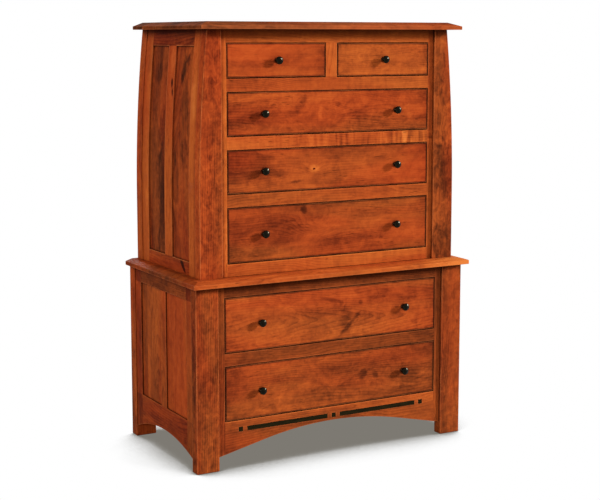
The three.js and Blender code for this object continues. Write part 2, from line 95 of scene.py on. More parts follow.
class Tree:
    """A material's nodes, with short calls for those used here. A value may be a number or a socket."""

    def __init__(self, tree):
        self.tree = tree
        tree.nodes.clear()

    def put(self, socket, value):
        if isinstance(value, bpy.types.NodeSocket):
            self.tree.links.new(value, socket)
        else:
            socket.default_value = value

    def add(self, kind, inputs=None, **settings):
        node = self.tree.nodes.new(kind)
        for key, value in settings.items():
            setattr(node, key, value)
        for key, value in (inputs or {}).items():
            self.put(node.inputs[key], value)
        return node

    def math(self, operation, a, b=0.0, clamp=False):
        return self.add("ShaderNodeMath", {0: a, 1: b}, operation=operation, use_clamp=clamp).outputs[0]

    def total(self, *values):
        result = values[0]
        for value in values[1:]:
            result = self.math("ADD", result, value)
        return result

    def product(self, *values):
        result = values[0]
        for value in values[1:]:
            result = self.math("MULTIPLY", result, value)
        return result

    def swing(self, noise, amount):
        """Noise runs from 0 to 1. This swings it about zero, by the amount."""
        return self.product(self.total(noise, -0.5), amount)

    def distance(self, u, v):
        return self.math("SQRT", self.total(self.product(u, u), self.product(v, v)))

    def largest(self, *values):
        result = values[0]
        for value in values[1:]:
            result = self.math("MAXIMUM", result, value)
        return result

    def between(self, value, low, high):
        above = self.math("GREATER_THAN", value, low)
        return self.math("MULTIPLY", above, self.math("LESS_THAN", value, high))

    def smooth(self, value, low, high, out_low=0.0, out_high=1.0):
        """Goes from out_low, where the value is low, over to out_high. Low may be the larger of the two."""
        inputs = {0: value, 1: low, 2: high, 3: out_low, 4: out_high}
        return self.add("ShaderNodeMapRange", inputs, interpolation_type="SMOOTHSTEP").outputs[0]

    def blend(self, factor, a, b):
        return self.add("ShaderNodeMix", {0: factor, 2: a, 3: b}).outputs[0]

    def tint(self, factor, a, b):
        """As blend, for colours."""
        return self.add("ShaderNodeMix", {0: factor, 6: a, 7: b}, data_type="RGBA").outputs[2]

    def vector(self, x, y, z):
        return self.add("ShaderNodeCombineXYZ", {0: x, 1: y, 2: z}).outputs[0]

    def noise(self, vector, stretch, detail=2.0, roughness=0.5, distortion=0.0):
        scaled = self.add("ShaderNodeVectorMath", {0: vector, 1: stretch}, operation="MULTIPLY").outputs[0]
        return self.add("ShaderNodeTexNoise", {
            "Vector": scaled, "Scale": 1.0, "Detail": detail, "Roughness": roughness,
            "Distortion": distortion,
        }).outputs[0]

    def openness(self, distance, samples, inputs=None, **settings):
        """How open the surroundings are: 1 out in the open, lower in a crevice."""
        inputs = {"Distance": distance, **(inputs or {})}
        return self.add("ShaderNodeAmbientOcclusion", inputs, samples=samples, **settings).outputs["AO"]

    def ramp(self, factor, stops):
        node = self.add("ShaderNodeValToRGB", {0: factor})
        elements = node.color_ramp.elements
        while len(elements) < len(stops):
            elements.new(0.5)
        for element, (position, colour) in zip(elements, stops):
            element.position = position
            element.color = colour
        return node.outputs[0]


def new_material(name):
    material = bpy.data.materials.new(name)
    material.use_nodes = True
    return material, Tree(material.node_tree)


def rgb(red, green, blue):
    """A colour as it shows, 0 to 255, as the linear colour that a socket takes."""
    def linear(value):
        value /= 255
        return value / 12.92 if value <= 0.04045 else ((value + 0.055) / 1.055) ** 2.4
    return (linear(red), linear(green), linear(blue), 1.0)


# A palette has two ramps from dark to light, one redder and one browner, then its darkest and palest tint.
CHERRY = (
    [
        (0.0, rgb(62, 21, 12)), (0.25, rgb(108, 37, 18)), (0.45, rgb(148, 56, 25)),
        (0.6, rgb(172, 68, 29)), (0.8, rgb(192, 83, 35)), (1.0, rgb(212, 104, 48)),
    ],
    [
        (0.0, rgb(56, 26, 14)), (0.25, rgb(100, 46, 22)), (0.45, rgb(143, 66, 29)),
        (0.6, rgb(172, 81, 34)), (0.8, rgb(197, 98, 40)), (1.0, rgb(220, 122, 55)),
    ],
    rgb(38, 13, 7),
    rgb(214, 120, 66),
)
# The top board, which light has faded a little.
FADED = (
    CHERRY[0],
    [
        (0.0, rgb(58, 29, 17)), (0.25, rgb(101, 50, 28)), (0.45, rgb(143, 72, 38)),
        (0.6, rgb(170, 86, 45)), (0.8, rgb(194, 103, 51)), (1.0, rgb(217, 126, 65)),
    ],
    CHERRY[2],
    CHERRY[3],
)
PALE = (
    [
        (0.0, rgb(150, 106, 66)), (0.35, rgb(186, 143, 97)),
        (0.65, rgb(203, 165, 119)), (1.0, rgb(214, 181, 138)),
    ],
    [
        (0.0, rgb(144, 106, 65)), (0.35, rgb(180, 142, 96)),
        (0.65, rgb(198, 162, 117)), (1.0, rgb(211, 179, 136)),
    ],
    rgb(110, 76, 44),
    rgb(218, 191, 152),
)
SHOP = (
    [
        (0.0, rgb(136, 90, 51)), (0.4, rgb(176, 126, 77)),
        (0.7, rgb(194, 147, 97)), (1.0, rgb(208, 167, 119)),
    ],
    [
        (0.0, rgb(130, 92, 53)), (0.4, rgb(170, 127, 78)),
        (0.7, rgb(189, 147, 98)), (1.0, rgb(204, 166, 117)),
    ],
    rgb(96, 62, 36),
    rgb(216, 182, 138),
)


# Wood

RING_WIDTH = 0.0095
KNOT_HEART = rgb(84, 17, 8)
BLACK_STAIN = rgb(26, 20, 8)
BASE_TONE = 0.56
SEAM_WIDTH = 0.0007
CREVICE = 0.012
OVERHANG = 0.06
ARRIS = 0.0045


def knot_fields(t, knots, along, across, ripple):
    """How far the knots pull the rings aside, how dark their hearts are, how light the wood round them is."""
    pull = dark = glow = 0.0
    for knot_along, knot_across, radius, darkness in knots:
        u = t.product(t.total(along, -knot_along), 0.7)
        v = t.total(across, -knot_across)
        distance = t.distance(u, v)
        wavy = t.total(distance, t.swing(ripple, radius * 2.2))
        far = t.math("POWER", t.math("DIVIDE", distance, radius * 6.0), 2.0)
        reach = t.math("EXPONENT", t.product(far, -1.0))
        pull = t.total(t.product(reach, radius * 4.0), pull)
        dark = t.largest(t.product(t.smooth(wavy, radius * 1.1, radius * 0.5), darkness), dark)
        glow = t.largest(t.product(t.smooth(wavy, radius * 5.0, radius * 1.4), darkness), glow)
    return pull, dark, glow


def mark_field(t, marks, along, across, blotch, strand):
    """The dark and the light marks, with ragged outlines."""
    field = 0.0
    for mark_along, mark_across, half_length, half_width, slant, strength in marks:
        u = t.total(along, -mark_along)
        v = t.total(across, t.product(u, -slant), -mark_across)
        distance = t.distance(t.math("DIVIDE", u, half_length), t.math("DIVIDE", v, half_width))
        ragged = t.total(distance, t.swing(blotch, 1.2), t.swing(strand, 0.3))
        field = t.total(t.product(t.smooth(ragged, 1.2, 0.35), strength), field)
    return field


def painted_shade_and_wear(t, colour, darkest, palest, ripple, painted_shade, rub_and_sheen, wear_and_sheen):
    """Paints shade into crevices and a painted shadow under an overhang, and paints the arrises pale, partly
    as wear and partly as a painted highlight.
    """
    # Painted shade: crevices and gaps darken, and what lies under an overhang gets a painted shadow.
    narrow = t.openness(CREVICE, 5)
    normal = t.add("ShaderNodeNewGeometry").outputs["Normal"]
    upward = t.add("ShaderNodeVectorMath", {0: normal, 1: (0.0, 0.0, 1.0)}, operation="ADD").outputs[0]
    upward = t.add("ShaderNodeVectorMath", {0: upward}, operation="NORMALIZE").outputs[0]
    overhead = t.openness(OVERHANG, 6, {"Normal": upward})
    shaded = t.largest(t.smooth(narrow, *painted_shade), t.smooth(overhead, 0.43, 0.25))
    colour = t.tint(t.product(shaded, 0.93), colour, darkest)
    # Paler arrises: partly wear, partly a painted highlight where an eased edge catches the light.
    thick = t.openness(ARRIS, 5, inside=True, only_local=True)
    uneven = t.smooth(ripple, 0.35, 0.6, 0.3, 1.0)
    pale_wear_and_sheen = t.product(t.smooth(thick, 0.92, 0.6), t.smooth(narrow, *rub_and_sheen), uneven, wear_and_sheen)
    return t.tint(pale_wear_and_sheen, colour, palest)


def wood(name, grain, seed, tone=0.0, figure=0.12, cloud=0.5, mottle=0.3, fine=1.0, streak=0.0, curl=0.0,
         hue=0.5, heart=None, boards=None, cross=None, knots=(), marks=(), tones=None, palette=CHERRY,
         gloss=0.34, level=0.002, wear_and_sheen=0.5, rub_and_sheen=(0.7, 0.95), painted_shade=(0.8, 0.4), olive=0.2, stains=()):
    """Flat-sawn wood. grain names the axes along the grain, across the face and through the board.

    tone makes it lighter, and tones(tree, x, y, z) adds to it from place to place. figure, cloud,
    mottle, streak and curl say how strong the growth rings, the slow clouds, the small patches, the
    dark veins and the curly figure are. curl may be a function as tones is. fine is how small the
    patches are. hue goes from the redder ramp to the browner one, and olive is how much browner a
    dark mark is.
    heart is where the rings' middle lies: (across, depth behind, taper). boards is (width, offset) of
    glued-up boards. cross is (grain, mask): where mask(tree, x, y, z) passes a half, the second grain
    holds, and the joint lies between. knots are (along, across, radius, darkness). marks are (along,
    across, half length, half width, slant, strength), dark where the strength is above zero. stains
    are boxes stained black.
    gloss is the roughness and level the strength of the sheen. worn is how pale the arrises are
    painted, partly as wear and partly as a painted highlight. rub and grime are the openness at
    which that pale arris sets in and fills, and at which a crevice's painted shade does.
    """
    red, brown, darkest, palest = palette
    material, t = new_material(name)
    coordinates = t.add("ShaderNodeTexCoord").outputs
    split = t.add("ShaderNodeSeparateXYZ", {0: coordinates["Object"]}).outputs
    facing = t.add("ShaderNodeSeparateXYZ", {0: coordinates["Normal"]}).outputs
    axis = dict(zip("xyz", split))
    end_grain = t.smooth(t.math("ABSOLUTE", dict(zip("xyz", facing))[grain[0]]), 0.4, 0.8)
    along, across, through = (axis[letter] for letter in grain)
    seam = None
    if cross:
        second_grain, mask = cross
        soft = mask(t, *split)
        upright = t.math("GREATER_THAN", soft, 0.5)
        seam = t.product(soft, t.total(1.0, t.product(soft, -1.0)), 4.0)
        other = [axis[letter] for letter in second_grain]
        along, across, through = (t.blend(upright, a, b) for a, b in zip((along, across, through), other))
        along = t.total(along, t.product(upright, 2.7))

    shade = tone
    if tones:
        shade = t.total(tones(t, *split), tone)
    typical_heart = (0.018 * math.sin(seed * 2.1), 0.05 + 0.02 * math.sin(seed), 0.03)
    heart_across, heart_depth, taper = heart or typical_heart
    middle = across
    if boards:
        width, offset = boards
        shifted = t.math("DIVIDE", t.total(across, offset), width)
        index = t.math("FLOOR", shifted)
        lot = {1: t.total(index, seed)}
        number = t.add("ShaderNodeTexWhiteNoise", lot, noise_dimensions="1D").outputs[0]
        from_middle = t.total(shifted, t.product(index, -1.0), -0.5)
        middle = t.product(from_middle, width)
        along = t.total(along, t.product(number, 5.3))
        shade = t.total(t.swing(number, 0.22), shade)
        seam = t.smooth(t.math("ABSOLUTE", from_middle), 0.5 - SEAM_WIDTH / width, 0.5)

    point = t.vector(t.total(along, seed * 3.17), t.total(across, seed * 1.31), t.total(through, seed * 0.73))
    wide = t.noise(point, (1.3, 8.0, 8.0), 4.0, 0.55, 0.5)
    warp = t.noise(point, (2.4, 6.5, 6.5), 1.0, 0.4)
    ripple = t.noise(point, (10.0, 30.0, 30.0), 2.0, 0.5)
    blotch = t.noise(point, (9.0 * fine, 18.0 * fine, 18.0 * fine), 4.0, 0.62, 1.1)
    quilt = t.noise(point, (52.0, 44.0, 44.0), 2.0, 0.6, 0.8)
    strand = t.noise(point, (3.6, 70.0, 70.0), 3.0, 0.62, 0.3)
    fibre = t.noise(point, (22.0, 520.0, 520.0), 2.0, 0.6)
    turn = t.noise(point, (1.1, 5.0, 5.0), 2.0, 0.5, 0.4)

    on_face = axis[grain[0]], axis[grain[1]]
    pull, dark, glow = knot_fields(t, knots, *on_face, ripple)
    blots = mark_field(t, marks, *on_face, blotch, strand)

    from_heart = t.total(middle, t.swing(warp, 0.05), -heart_across)
    depth = t.total(t.swing(wide, 0.05), heart_depth)
    ring_at = t.total(
        t.distance(from_heart, depth), t.product(along, taper), t.swing(warp, 0.06), t.swing(ripple, 0.008),
        pull)
    phase = t.math("FRACT", t.math("DIVIDE", ring_at, RING_WIDTH))
    late = t.math("MULTIPLY", t.math("POWER", phase, 3.0), t.smooth(phase, 1.0, 0.88))
    shown = t.smooth(t.noise(point, (2.6, 9.0, 9.0), 2.0, 0.5), 0.38, 0.62, 0.25, 1.0)
    ring = t.product(late, shown)

    value = t.total(
        t.swing(wide, cloud * 1.7),
        t.swing(blotch, mottle * 1.7),
        t.swing(quilt, mottle * 0.9),
        t.swing(strand, 0.22),
        t.swing(fibre, 0.18),
        t.product(ring, -figure * 1.9),
        t.product(glow, 0.3),
        t.product(blots, -1.0),
        t.product(end_grain, -0.2),
        BASE_TONE + figure * 0.35,
        shade,
    )
    if curl:
        waves = t.noise(point, (54.0, 6.0, 6.0), 1.0, 0.4, 0.6)
        patches = t.smooth(t.noise(point, (5.0, 5.0, 5.0), 1.0, 0.5), 0.3, 0.5)
        strength = curl(t, *split) if callable(curl) else curl
        value = t.total(t.product(t.total(waves, -0.5), patches, strength), value)
    browning = t.total(t.product(blots, olive), t.product(glow, 0.4), hue)
    browner = t.math("ADD", t.smooth(turn, 0.36, 0.64, -0.5, 0.5), browning, clamp=True)
    colour = t.tint(browner, t.ramp(value, red), t.ramp(value, brown))
    fleck = t.smooth(t.noise(point, (30.0, 240.0, 240.0), 1.0, 0.5), 0.6, 0.7)
    clusters = t.smooth(t.noise(point, (7.0, 22.0, 22.0), 2.0, 0.5), 0.48, 0.66, 0.04, 0.5)
    colour = t.tint(t.product(fleck, clusters), colour, darkest)
    if streak:
        vein = t.noise(point, (2.2, 24.0, 24.0), 3.0, 0.62, 0.9)
        colour = t.tint(t.product(t.smooth(vein, 0.5, 0.68), streak), colour, darkest)
    if knots:
        colour = t.tint(dark, colour, KNOT_HEART)
    if seam:
        colour = t.tint(t.product(seam, 0.45), colour, darkest)
    for low, high in stains:
        stained = t.product(t.between(axis["x"], low.x, high.x), t.between(axis["z"], low.z, high.z))
        colour = t.tint(stained, colour, BLACK_STAIN)
    colour = painted_shade_and_wear(t, colour, darkest, palest, ripple, painted_shade, rub_and_sheen, wear_and_sheen)

    height = t.total(
        t.product(fibre, 0.6), t.product(ring, -0.35), t.product(strand, 0.3), t.product(fleck, -0.4))
    bump = t.add("ShaderNodeBump", {"Height": height, "Strength": 0.22, "Distance": 0.0006}).outputs[0]
    rough = t.total(t.swing(fibre, 0.12), t.swing(blotch, 0.12), gloss)
    surface = t.add("ShaderNodeBsdfPrincipled", {
        "Base Color": colour, "Roughness": rough, "Specular IOR Level": level, "Normal": bump,
    })
    t.put(t.add("ShaderNodeOutputMaterial").inputs[0], surface.outputs[0])
    return material


def ebony():
    """Black wood with a fine fibre, for the inlay."""
    material, t = new_material("ebony")
    place = t.add("ShaderNodeTexCoord").outputs["Object"]
    fibre = t.noise(place, (30.0, 400.0, 700.0), 3.0, 0.6)
    colour = t.ramp(fibre, [(0.3, rgb(14, 11, 4)), (0.7, rgb(40, 33, 13))])
    rough = t.total(t.product(fibre, 0.2), 0.35)
    bump = t.add("ShaderNodeBump", {"Height": fibre, "Strength": 0.15, "Distance": 0.0004}).outputs[0]
    surface = t.add("ShaderNodeBsdfPrincipled", {
        "Base Color": colour, "Roughness": rough, "Specular IOR Level": 0.02, "Normal": bump,
    })
    t.put(t.add("ShaderNodeOutputMaterial").inputs[0], surface.outputs[0])
    return material


def bronze():
    """Dark bronze with a patina, thinned with wear to a little brighter in patches."""
    material, t = new_material("dark_bronze")
    place = t.add("ShaderNodeTexCoord").outputs["Object"]
    cloud = t.noise(place, (90.0, 90.0, 90.0), 3.0, 0.6)
    grit = t.noise(place, (900.0, 900.0, 900.0), 2.0, 0.5)
    colour = t.ramp(cloud, [(0.3, rgb(22, 20, 15)), (0.62, rgb(31, 28, 21)), (0.8, rgb(48, 42, 32))])
    rough = t.total(t.product(cloud, 0.08), t.product(grit, 0.04), 0.165)
    bump = t.add("ShaderNodeBump", {"Height": grit, "Strength": 0.06, "Distance": 0.0003}).outputs[0]
    surface = t.add("ShaderNodeBsdfPrincipled", {
        "Base Color": colour, "Metallic": 1.0, "Roughness": rough, "Normal": bump,
    })
    t.put(t.add("ShaderNodeOutputMaterial").inputs[0], surface.outputs[0])
    return material


# Dressing of the pieces

def dress(name, material, bevel=0.0012, segments=2):
    """Gives a node its finish and eased edges. The mesh itself stays as it is."""
    piece = nodes[name]
    piece.data.materials.clear()
    piece.data.materials.append(material)
    weld = piece.modifiers.new("weld", "WELD")
    weld.merge_threshold = 0.00002
    if bevel:
        ease = piece.modifiers.new("ease", "BEVEL")
        ease.width = bevel
        ease.segments = segments
        ease.limit_method = "ANGLE"
        ease.angle_limit = math.radians(32)
        ease.harden_normals = False


TOUCHING = 1e-5


def ease_front(name, width):
    """Rounds only the four edges round a drawer front's face."""
    piece = nodes[name]
    low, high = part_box(name)
    mesh = piece.data
    weights = mesh.attributes.new("bevel_weight_edge", "FLOAT", "EDGE")
    for edge in mesh.edges:
        a, b = (mesh.vertices[index].co for index in edge.vertices)
        on_face = max(abs(a.y - low.y), abs(b.y - low.y)) < TOUCHING
        upright = any(max(abs(a.x - x), abs(b.x - x)) < TOUCHING for x in (low.x, high.x))
        level = any(max(abs(a.z - z), abs(b.z - z)) < TOUCHING for z in (low.z, high.z))
        weights.data[edge.index].value = 1.0 if on_face and (upright or level) else 0.0
    ease = piece.modifiers.new("ease", "BEVEL")
    ease.width = width
    ease.segments = 3
    ease.limit_method = "WEIGHT"


def rounded(points, rounds=2):
    """A profile with its inner corners cut twice, which leaves smooth curves. Its two ends stay."""
    for _ in range(rounds):
        cut = [points[0]]
        for (r0, h0), (r1, h1) in zip(points, points[1:]):
            cut.append((r0 * 0.75 + r1 * 0.25, h0 * 0.75 + h1 * 0.25))
            cut.append((r0 * 0.25 + r1 * 0.75, h0 * 0.25 + h1 * 0.75))
        cut.append(points[-1])
        points = cut
    return points


def turned(name, profile, centre, segments=56):
    """A piece turned round an axis that points to -Y. The profile is (radius, forward), axis to axis."""
    mesh = bpy.data.meshes.new(name)
    bm = bmesh.new()
    rings = []
    for radius, forward in profile:
        if radius == 0:
            rings.append([bm.verts.new((0, -forward, 0))])
            continue
        ring = []
        for step in range(segments):
            angle = 2 * math.pi * step / segments
            ring.append(bm.verts.new((radius * math.cos(angle), -forward, radius * math.sin(angle))))
        rings.append(ring)
    for lower, upper in zip(rings, rings[1:]):
        for step in range(segments):
            after = (step + 1) % segments
            corners = [lower[step % len(lower)], lower[after % len(lower)]]
            corners += [upper[after % len(upper)], upper[step % len(upper)]]
            unique = list(dict.fromkeys(corners))
            if len(unique) > 2:
                bm.faces.new(unique)
    bmesh.ops.recalc_face_normals(bm, faces=bm.faces)
    for face in bm.faces:
        face.smooth = True
    bm.to_mesh(mesh)
    bm.free()
    piece = bpy.data.objects.new(name, mesh)
    piece.location = centre
    bpy.context.scene.collection.objects.link(piece)
    return piece


# The knob's profile: radius, distance in front of the drawer
KNOB = [
    (0.0, 0.0), (0.0085, 0.0), (0.0086, 0.0016), (0.0074, 0.0030), (0.0056, 0.0046),
    (0.0053, 0.0075), (0.0062, 0.0098), (0.0102, 0.0110), (0.0140, 0.0134), (0.0150, 0.0174),
    (0.0147, 0.0208), (0.0136, 0.0226), (0.0070, 0.0255), (0.0034, 0.0264), (0.0, 0.0267),
]


def make_knobs(material):
    for name in sorted(nodes):
        if "_knob" not in name:
            continue
        low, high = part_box(name)
        centre = Vector(((low.x + high.x) / 2, high.y, (low.z + high.z) / 2))
        knob = turned(name + "_turned", rounded(KNOB), centre)
        knob.data.materials.append(material)
        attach(knob, nodes[name]["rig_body"])
        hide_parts(name)


# Where the members of the frames meet

JOINT = 0.0005
UPPER_OPENING = 0.442
LOWER_OPENING = 0.4695
HALF_DIVIDER = 0.03
DIVIDER_FOOT, DIVIDER_TOP = 1.4554, 1.585
# The apron's face ends at APRON_EDGE. From there to APRON_TOP runs its top arris, which carries a painted
# highlight.
APRON_EDGE, APRON_TOP = 0.1785, 0.183
# The openings of the framed sides: front, rear, bottom, top
UPPER_SIDE = (-0.1695, 0.2095, 0.776, 1.573)
LOWER_SIDE = (-0.204, 0.227, 0.1845, 0.642)


# Which grain holds where, in the frames: a mask that passes a half at the joint of an upright and a rail

def beyond(t, value, limit):
    return t.smooth(value, limit - JOINT, limit + JOINT)


def short_of(t, value, limit):
    return t.smooth(value, limit + JOINT, limit - JOINT)


def within(t, value, low, high):
    return t.product(beyond(t, value, low), short_of(t, value, high))


def upper_face_upright(t, x, y, z):
    out = t.math("ABSOLUTE", x)
    divider = t.product(t.math("LESS_THAN", out, HALF_DIVIDER), within(t, z, DIVIDER_FOOT, DIVIDER_TOP))
    return t.largest(beyond(t, out, UPPER_OPENING), divider)


def lower_face_upright(t, x, y, z):
    return beyond(t, t.math("ABSOLUTE", x), LOWER_OPENING)


def side_upright(front, rear, bottom, top):
    def upright(t, x, y, z):
        return t.largest(short_of(t, y, front), beyond(t, y, rear), within(t, z, bottom, top))
    return upright


# How much lighter or darker each member is, in x, y or z: mostly its board's tone, in places painted shade or
# a painted highlight

def bands(t, value, levels):
    """A tone that holds between each pair of levels: (low, high, tone)."""
    tone = 0.0
    for low, high, amount in levels:
        tone = t.total(t.product(t.between(value, low, high), amount), tone)
    return tone


def flank_tones(front):
    """A post whose flanks, behind its front face, are lighter."""
    def tones(t, x, y, z):
        return t.smooth(y, front + 0.003, front + 0.008, 0.0, 0.1)
    return tones


def upper_face_tones(t, x, y, z):
    # The thin band from 0.768 to 0.773 is a painted highlight along the bottom rail's top arris.
    rails = bands(t, z, (
        (1.585, 1.7, -0.04), (1.40, 1.46, -0.09), (1.19, 1.245, -0.04), (0.98, 1.032, -0.17),
        (0.7, 0.768, 0.02), (0.768, 0.773, 0.16)))
    inside = t.math("LESS_THAN", t.math("ABSOLUTE", x), UPPER_OPENING)
    right = t.product(t.math("GREATER_THAN", x, UPPER_OPENING), -0.14)
    # The left stile has painted shade next to its post and is lighter towards the drawers.
    left = t.product(t.math("LESS_THAN", x, -UPPER_OPENING), t.smooth(x, -0.459, -0.449, -0.14, 0.1))
    return t.total(t.product(rails, inside), t.total(right, left))


def upper_face_curl(t, x, y, z):
    return t.total(t.product(t.between(z, 1.19, 1.245), t.smooth(x, -0.4, 0.3, 0.1, 0.9)), 0.2)


def top_tones(t, x, y, z):
    return t.total(t.smooth(x, -0.5, 0.0, -0.08, 0.03), t.smooth(x, -0.53, -0.57, 0.0, 0.16))


def waist_tones(t, x, y, z):
    return t.total(t.smooth(x, 0.36, 0.46, 0.0, 0.24), t.smooth(x, 0.48, 0.56, 0.0, 0.22))


def lower_face_tones(t, x, y, z):
    # The top rail is darker, partly its board and partly painted shade under the waist board. The band from
    # APRON_EDGE to APRON_TOP is a painted highlight.
    rails = bands(t, z, (
        (0.65, 0.7, -0.36), (0.39, 0.443, -0.36), (0.0, APRON_EDGE, -0.24), (APRON_EDGE, APRON_TOP, 0.08)))
    lighter = t.total(
        t.smooth(z, 0.135, 0.16, 0.0, 0.12), t.smooth(x, -0.45, -0.38, -0.06, 0.02),
        t.smooth(x, 0.0, 0.25, 0.0, 0.05))
    apron = t.product(t.math("LESS_THAN", z, APRON_EDGE), lighter)
    inside = t.math("LESS_THAN", t.math("ABSOLUTE", x), LOWER_OPENING)
    return t.blend(inside, -0.25, t.total(rails, apron))


def upper_side_tones(t, x, y, z):
    front, rear, bottom, top = UPPER_SIDE
    front_stile = t.product(t.math("LESS_THAN", y, front), t.smooth(y, -0.225, -0.2, -0.05, 0.17))
    rear_stile = t.product(t.math("GREATER_THAN", y, rear), 0.07)
    rails = bands(t, z, ((top, 1.7, -0.3), (bottom, top, 0.1), (0.7, bottom, -0.1)))
    return t.total(t.product(t.between(y, front, rear), rails), front_stile, rear_stile)


def lower_side_tones(t, x, y, z):
    front, _, bottom, top = LOWER_SIDE
    stiles = t.product(t.math("LESS_THAN", y, front), -0.05)
    return t.total(bands(t, z, ((top, 0.7, -0.2), (0.0, bottom, -0.1))), stiles)


INLAY = ("square_left", "bar_left", "square_centre", "bar_right", "square_right")
BAR_MARGIN = Vector((0.0012, 0, 0.0015))
SQUARE_MARGIN = Vector((0.0005, 0, 0.0005))


def stained_margins():
    """The boxes round the inlay that its black stain has run into."""
    boxes = []
    for name in INLAY:
        low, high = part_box("inlay_" + name)
        margin = BAR_MARGIN if "bar" in name else SQUARE_MARGIN
        boxes.append((low - margin, high + margin))
    return boxes


# Each post: seed, tone, mottle, fine, streak, hue, marks
POSTS = {
    "upper_front_post_left": (1.9, -0.11, 0.5, 1.9, 0.05, 0.2, ()),
    "upper_front_post_right": (8.3, -0.1, 0.45, 1.6, 0.03, 0.6, (
        (1.08, 0.53, 0.12, 0.08, 0.0, 0.16), (0.8, 0.52, 0.1, 0.08, 0.0, 0.1),
        (1.52, 0.49, 0.1, 0.03, 0.0, 0.12))),
    "upper_rear_post_left": (2.6, 0.04, 0.3, 1.2, 0.0, 0.5, ()),
    "upper_rear_post_right": (6.2, 0.0, 0.3, 1.2, 0.1, 0.5, ()),
    "lower_front_post_left": (4.4, -0.155, 0.4, 1.5, 0.05, 0.75, ()),
    "lower_front_post_right": (7.7, -0.24, 0.35, 1.2, 0.0, 0.95, ()),
    "lower_rear_post_left": (9.1, -0.06, 0.3, 1.2, 0.0, 0.5, ()),
    "lower_rear_post_right": (3.9, -0.02, 0.3, 1.2, 0.0, 0.5, ()),
}
# The marks on the upper sides. A panel's run along z and across y, a frame's along y and across z.
PANEL_MARKS = {
    "left": (
        (1.03, 0.085, 0.27, 0.055, 0.0, 0.25), (1.47, 0.135, 0.05, 0.03, 0.0, 0.14),
        (0.87, 0.195, 0.07, 0.014, 0.0, 0.24), (1.49, -0.09, 0.06, 0.03, -0.35, 0.36),
        (1.3, -0.11, 0.24, 0.04, 0.0, 0.2), (1.15, -0.03, 0.04, 0.012, 0.0, 0.24),
    ),
    "right": (
        (1.12, -0.1, 0.3, 0.045, 0.0, 0.34), (0.9, 0.12, 0.14, 0.05, 0.1, 0.24),
        (1.46, 0.1, 0.1, 0.04, -0.2, 0.3),
    ),
}
FRAME_MARKS = {
    "left": (
        (0.006, 1.435, 0.01, 0.02, 0.25, 0.7), (0.0, 1.4, 0.008, 0.016, 0.2, 0.6),
        (0.01, 1.53, 0.025, 0.06, 0.0, -0.2), (-0.113, 0.752, 0.028, 0.016, 0.9, 0.7),
    ),
    "right": ((0.02, 1.21, 0.006, 0.014, 0.2, 0.5),),
}


def dress_case():
    dress("top_board", wood(
        "cherry_top", "xyz", 3.1, -0.17, boards=(0.105, 0.3), cloud=0.35, hue=1.0, level=0.0002,
        palette=FADED, tones=top_tones), 0.0015)
    dress("waist_board", wood(
        "cherry_waist", "xyz", 5.7, 0.02, boards=(0.112, 0.33), cloud=0.4, mottle=0.35, hue=0.8, wear_and_sheen=0.9,
        painted_shade=(0.45, 0.2), tones=waist_tones), 0.0025, 3)

    for name, (seed, tone, mottle, fine, streak, hue, marks) in POSTS.items():
        tones = flank_tones(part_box(name)[0].y) if name == "upper_front_post_left" else None
        dress(name, wood(
            "cherry_" + name, "zxy", seed, tone, mottle=mottle, fine=fine, streak=streak, hue=hue,
            marks=marks, wear_and_sheen=0.6, painted_shade=(0.5, 0.2), tones=tones), 0.003, 3)

    dress("upper_face_frame", wood(
        "cherry_upper_face", "xzy", 2.2, 0.12, cloud=0.4, mottle=0.25, curl=upper_face_curl, hue=0.9,
        cross=("zxy", upper_face_upright), tones=upper_face_tones, painted_shade=(0.5, 0.25),
        rub_and_sheen=(0.45, 0.75)), 0.002)
    dress("lower_face_frame", wood(
        "cherry_lower_face", "xzy", 6.6, 0.06, cloud=0.4, mottle=0.25, hue=1.0,
        cross=("zxy", lower_face_upright), tones=lower_face_tones, painted_shade=(0.6, 0.3), rub_and_sheen=(0.45, 0.75),
        stains=stained_margins()), 0.002)

    for side, seed in (("left", 1.2), ("right", 4.9)):
        dress("upper_side_frame_" + side, wood(
            "cherry_upper_side_" + side, "yzx", seed, 0.04, cloud=0.45, mottle=0.3, hue=0.25, wear_and_sheen=1.0,
            painted_shade=(0.55, 0.25), olive=0.8, cross=("zyx", side_upright(*UPPER_SIDE)),
            tones=upper_side_tones, marks=FRAME_MARKS[side]), 0.0024)
        dress("upper_side_panel_" + side, wood(
            "cherry_upper_panel_" + side, "zyx", seed + 6.1, -0.17, cloud=0.4, mottle=0.35, streak=0.04,
            hue=0.5, boards=(0.17, 0.16), marks=PANEL_MARKS[side], olive=1.0), 0)
        dress("lower_side_frame_" + side, wood(
            "cherry_lower_side_" + side, "yzx", seed + 2.3, -0.06, cloud=0.4, tones=lower_side_tones,
            wear_and_sheen=0.8, painted_shade=(0.55, 0.25), cross=("zyx", side_upright(*LOWER_SIDE))), 0.0024)
        dress("lower_side_panel_" + side, wood(
            "cherry_lower_panel_" + side, "zyx", seed + 7.7, -0.04, cloud=0.45, hue=0.65,
            boards=(0.19, 0.2)), 0)

    black = ebony()
    for name in INLAY:
        dress("inlay_" + name, black, 0.0003, 1)

    plain = dict(palette=SHOP, level=0.1, wear_and_sheen=0.2)
    back = wood("back_wood", "zxy", 2.9, boards=(0.32, 0.1), gloss=0.55, **plain)
    shop = wood("web_wood", "xyz", 5.3, boards=(0.12, 0.3), gloss=0.6, **plain)
    for name in ("upper_back_panel", "lower_back_panel"):
        dress(name, back, 0)
    for name in nodes:
        if "_web_frame_" in name:
            dress(name, shop, 0)


